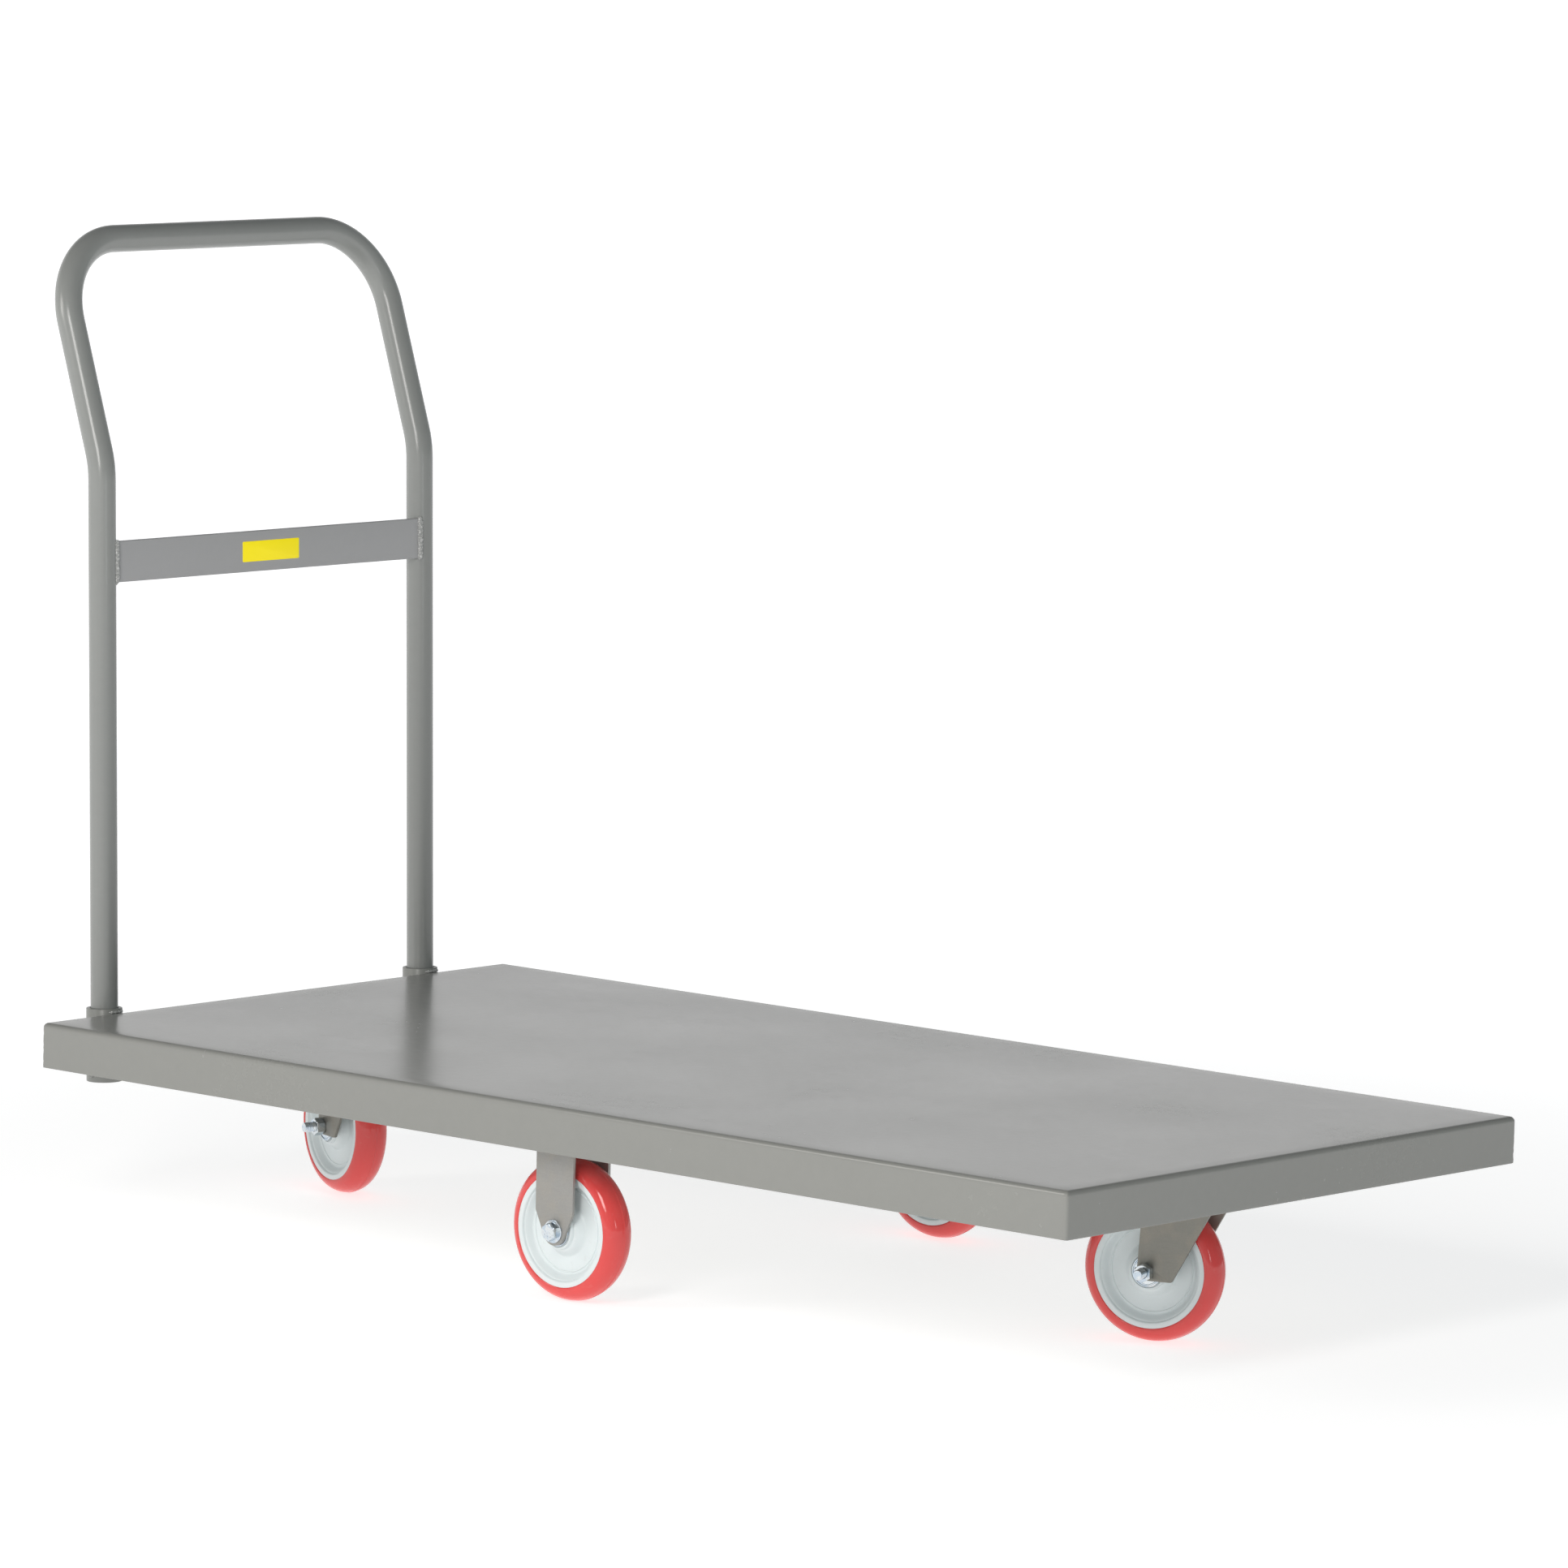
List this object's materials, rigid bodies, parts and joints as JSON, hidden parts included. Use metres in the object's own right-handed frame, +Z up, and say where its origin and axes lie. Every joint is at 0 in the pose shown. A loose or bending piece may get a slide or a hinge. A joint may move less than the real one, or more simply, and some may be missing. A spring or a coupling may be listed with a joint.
{
  "type": "flatbed platform truck",
  "caption": "Flat steel-deck platform truck with a lift-out tubular handle, rigid casters at mid-length and swivel casters at both ends.",
  "frame": {"origin": "on the floor, under the middle of the whole truck including the handle", "axes": "+X from the handle end to the open end, +Y to the left side, +Z up"},
  "size_m": [1.3302, 0.6096, 0.897],
  "materials": {
    "deck_enamel": "semi-gloss warm grey powder enamel",
    "frame_enamel": "semi-gloss warm grey enamel over welds",
    "handle_enamel": "semi-gloss warm grey enamel",
    "caster_steel": "satin rolled and plated sheet steel",
    "zinc_hardware": "bright zinc plate",
    "bearing_steel": "ground and greased",
    "hub_plastic": "satin moulded polyolefin",
    "red_tread": "glossy cast polyurethane",
    "yellow_label": "blank printed vinyl"
  },
  "bodies": {
    "frame": {"deck_pan": "deck_enamel", "rear_cross_channel": "frame_enamel", "middle_cross_channel": "frame_enamel", "front_cross_channel": "frame_enamel", "channel_stitch_welds": "frame_enamel", "caster_mount_bolts": "zinc_hardware", "caster_mount_nuts": "zinc_hardware", "left_handle_socket": "frame_enamel", "right_handle_socket": "frame_enamel", "handle_stop_pins": "zinc_hardware", "socket_welds": "frame_enamel", "left_rigid_plate": "caster_steel", "right_rigid_plate": "caster_steel", "left_rigid_fork": "caster_steel", "right_rigid_fork": "caster_steel", "rigid_axle_bolts": "zinc_hardware", "rigid_axle_nuts": "zinc_hardware", "rigid_span_bushings": "zinc_hardware", "rigid_thrust_washers": "zinc_hardware", "rigid_bolt_washers": "zinc_hardware", "front_swivel_plate": "caster_steel", "front_upper_balls": "bearing_steel", "front_lower_balls": "bearing_steel", "front_lower_race": "bearing_steel", "front_kingpin_nut": "zinc_hardware", "rear_swivel_plate": "caster_steel", "rear_upper_balls": "bearing_steel", "rear_lower_balls": "bearing_steel", "rear_lower_race": "bearing_steel", "rear_kingpin_nut": "zinc_hardware"},
    "handle": {"handle_tube": "handle_enamel", "handle_cross_brace": "handle_enamel", "cross_brace_welds": "handle_enamel", "blank_label": "yellow_label"},
    "front_fork": {"front_yoke": "caster_steel", "front_axle_bolt": "zinc_hardware", "front_axle_nut": "zinc_hardware", "front_span_bushing": "zinc_hardware", "front_thrust_washers": "zinc_hardware", "front_bolt_washer": "zinc_hardware"},
    "rear_fork": {"rear_yoke": "caster_steel", "rear_axle_bolt": "zinc_hardware", "rear_axle_nut": "zinc_hardware", "rear_span_bushing": "zinc_hardware", "rear_thrust_washers": "zinc_hardware", "rear_bolt_washer": "zinc_hardware"},
    "left_wheel": {"left_hub": "hub_plastic", "left_tyre": "red_tread", "left_roller_bearing": "bearing_steel"},
    "right_wheel": {"right_hub": "hub_plastic", "right_tyre": "red_tread", "right_roller_bearing": "bearing_steel"},
    "front_wheel": {"front_hub": "hub_plastic", "front_tyre": "red_tread", "front_roller_bearing": "bearing_steel"},
    "rear_wheel": {"rear_hub": "hub_plastic", "rear_tyre": "red_tread", "rear_roller_bearing": "bearing_steel"}
  },
  "joints": [
    {"name": "handle_lift", "type": "slide", "parent": "frame", "child": "handle", "axis": [-0.0262, 0, 0.9997], "range_m": [0, 0.09]},
    {"name": "left_wheel_spin", "type": "hinge", "parent": "frame", "child": "left_wheel", "pos_m": [0.05551, 0.2463, 0.0635], "axis": [0, 1, 0], "continuous": true},
    {"name": "right_wheel_spin", "type": "hinge", "parent": "frame", "child": "right_wheel", "pos_m": [0.05551, -0.2463, 0.0635], "axis": [0, 1, 0], "continuous": true},
    {"name": "front_swivel", "type": "hinge", "parent": "frame", "child": "front_fork", "pos_m": [0.55311, 0, 0.1603], "axis": [0, 0, 1], "continuous": true},
    {"name": "rear_swivel", "type": "hinge", "parent": "frame", "child": "rear_fork", "pos_m": [-0.44209, 0, 0.1603], "axis": [0, 0, 1], "continuous": true},
    {"name": "front_wheel_spin", "type": "hinge", "parent": "front_fork", "child": "front_wheel", "pos_m": [0.52087, -0.01079, 0.0635], "axis": [-0.3173, 0.9483, 0], "continuous": true},
    {"name": "rear_wheel_spin", "type": "hinge", "parent": "rear_fork", "child": "rear_wheel", "pos_m": [-0.47446, 0.01039, 0.0635], "axis": [0.3057, 0.9521, 0], "continuous": true}
  ]
}
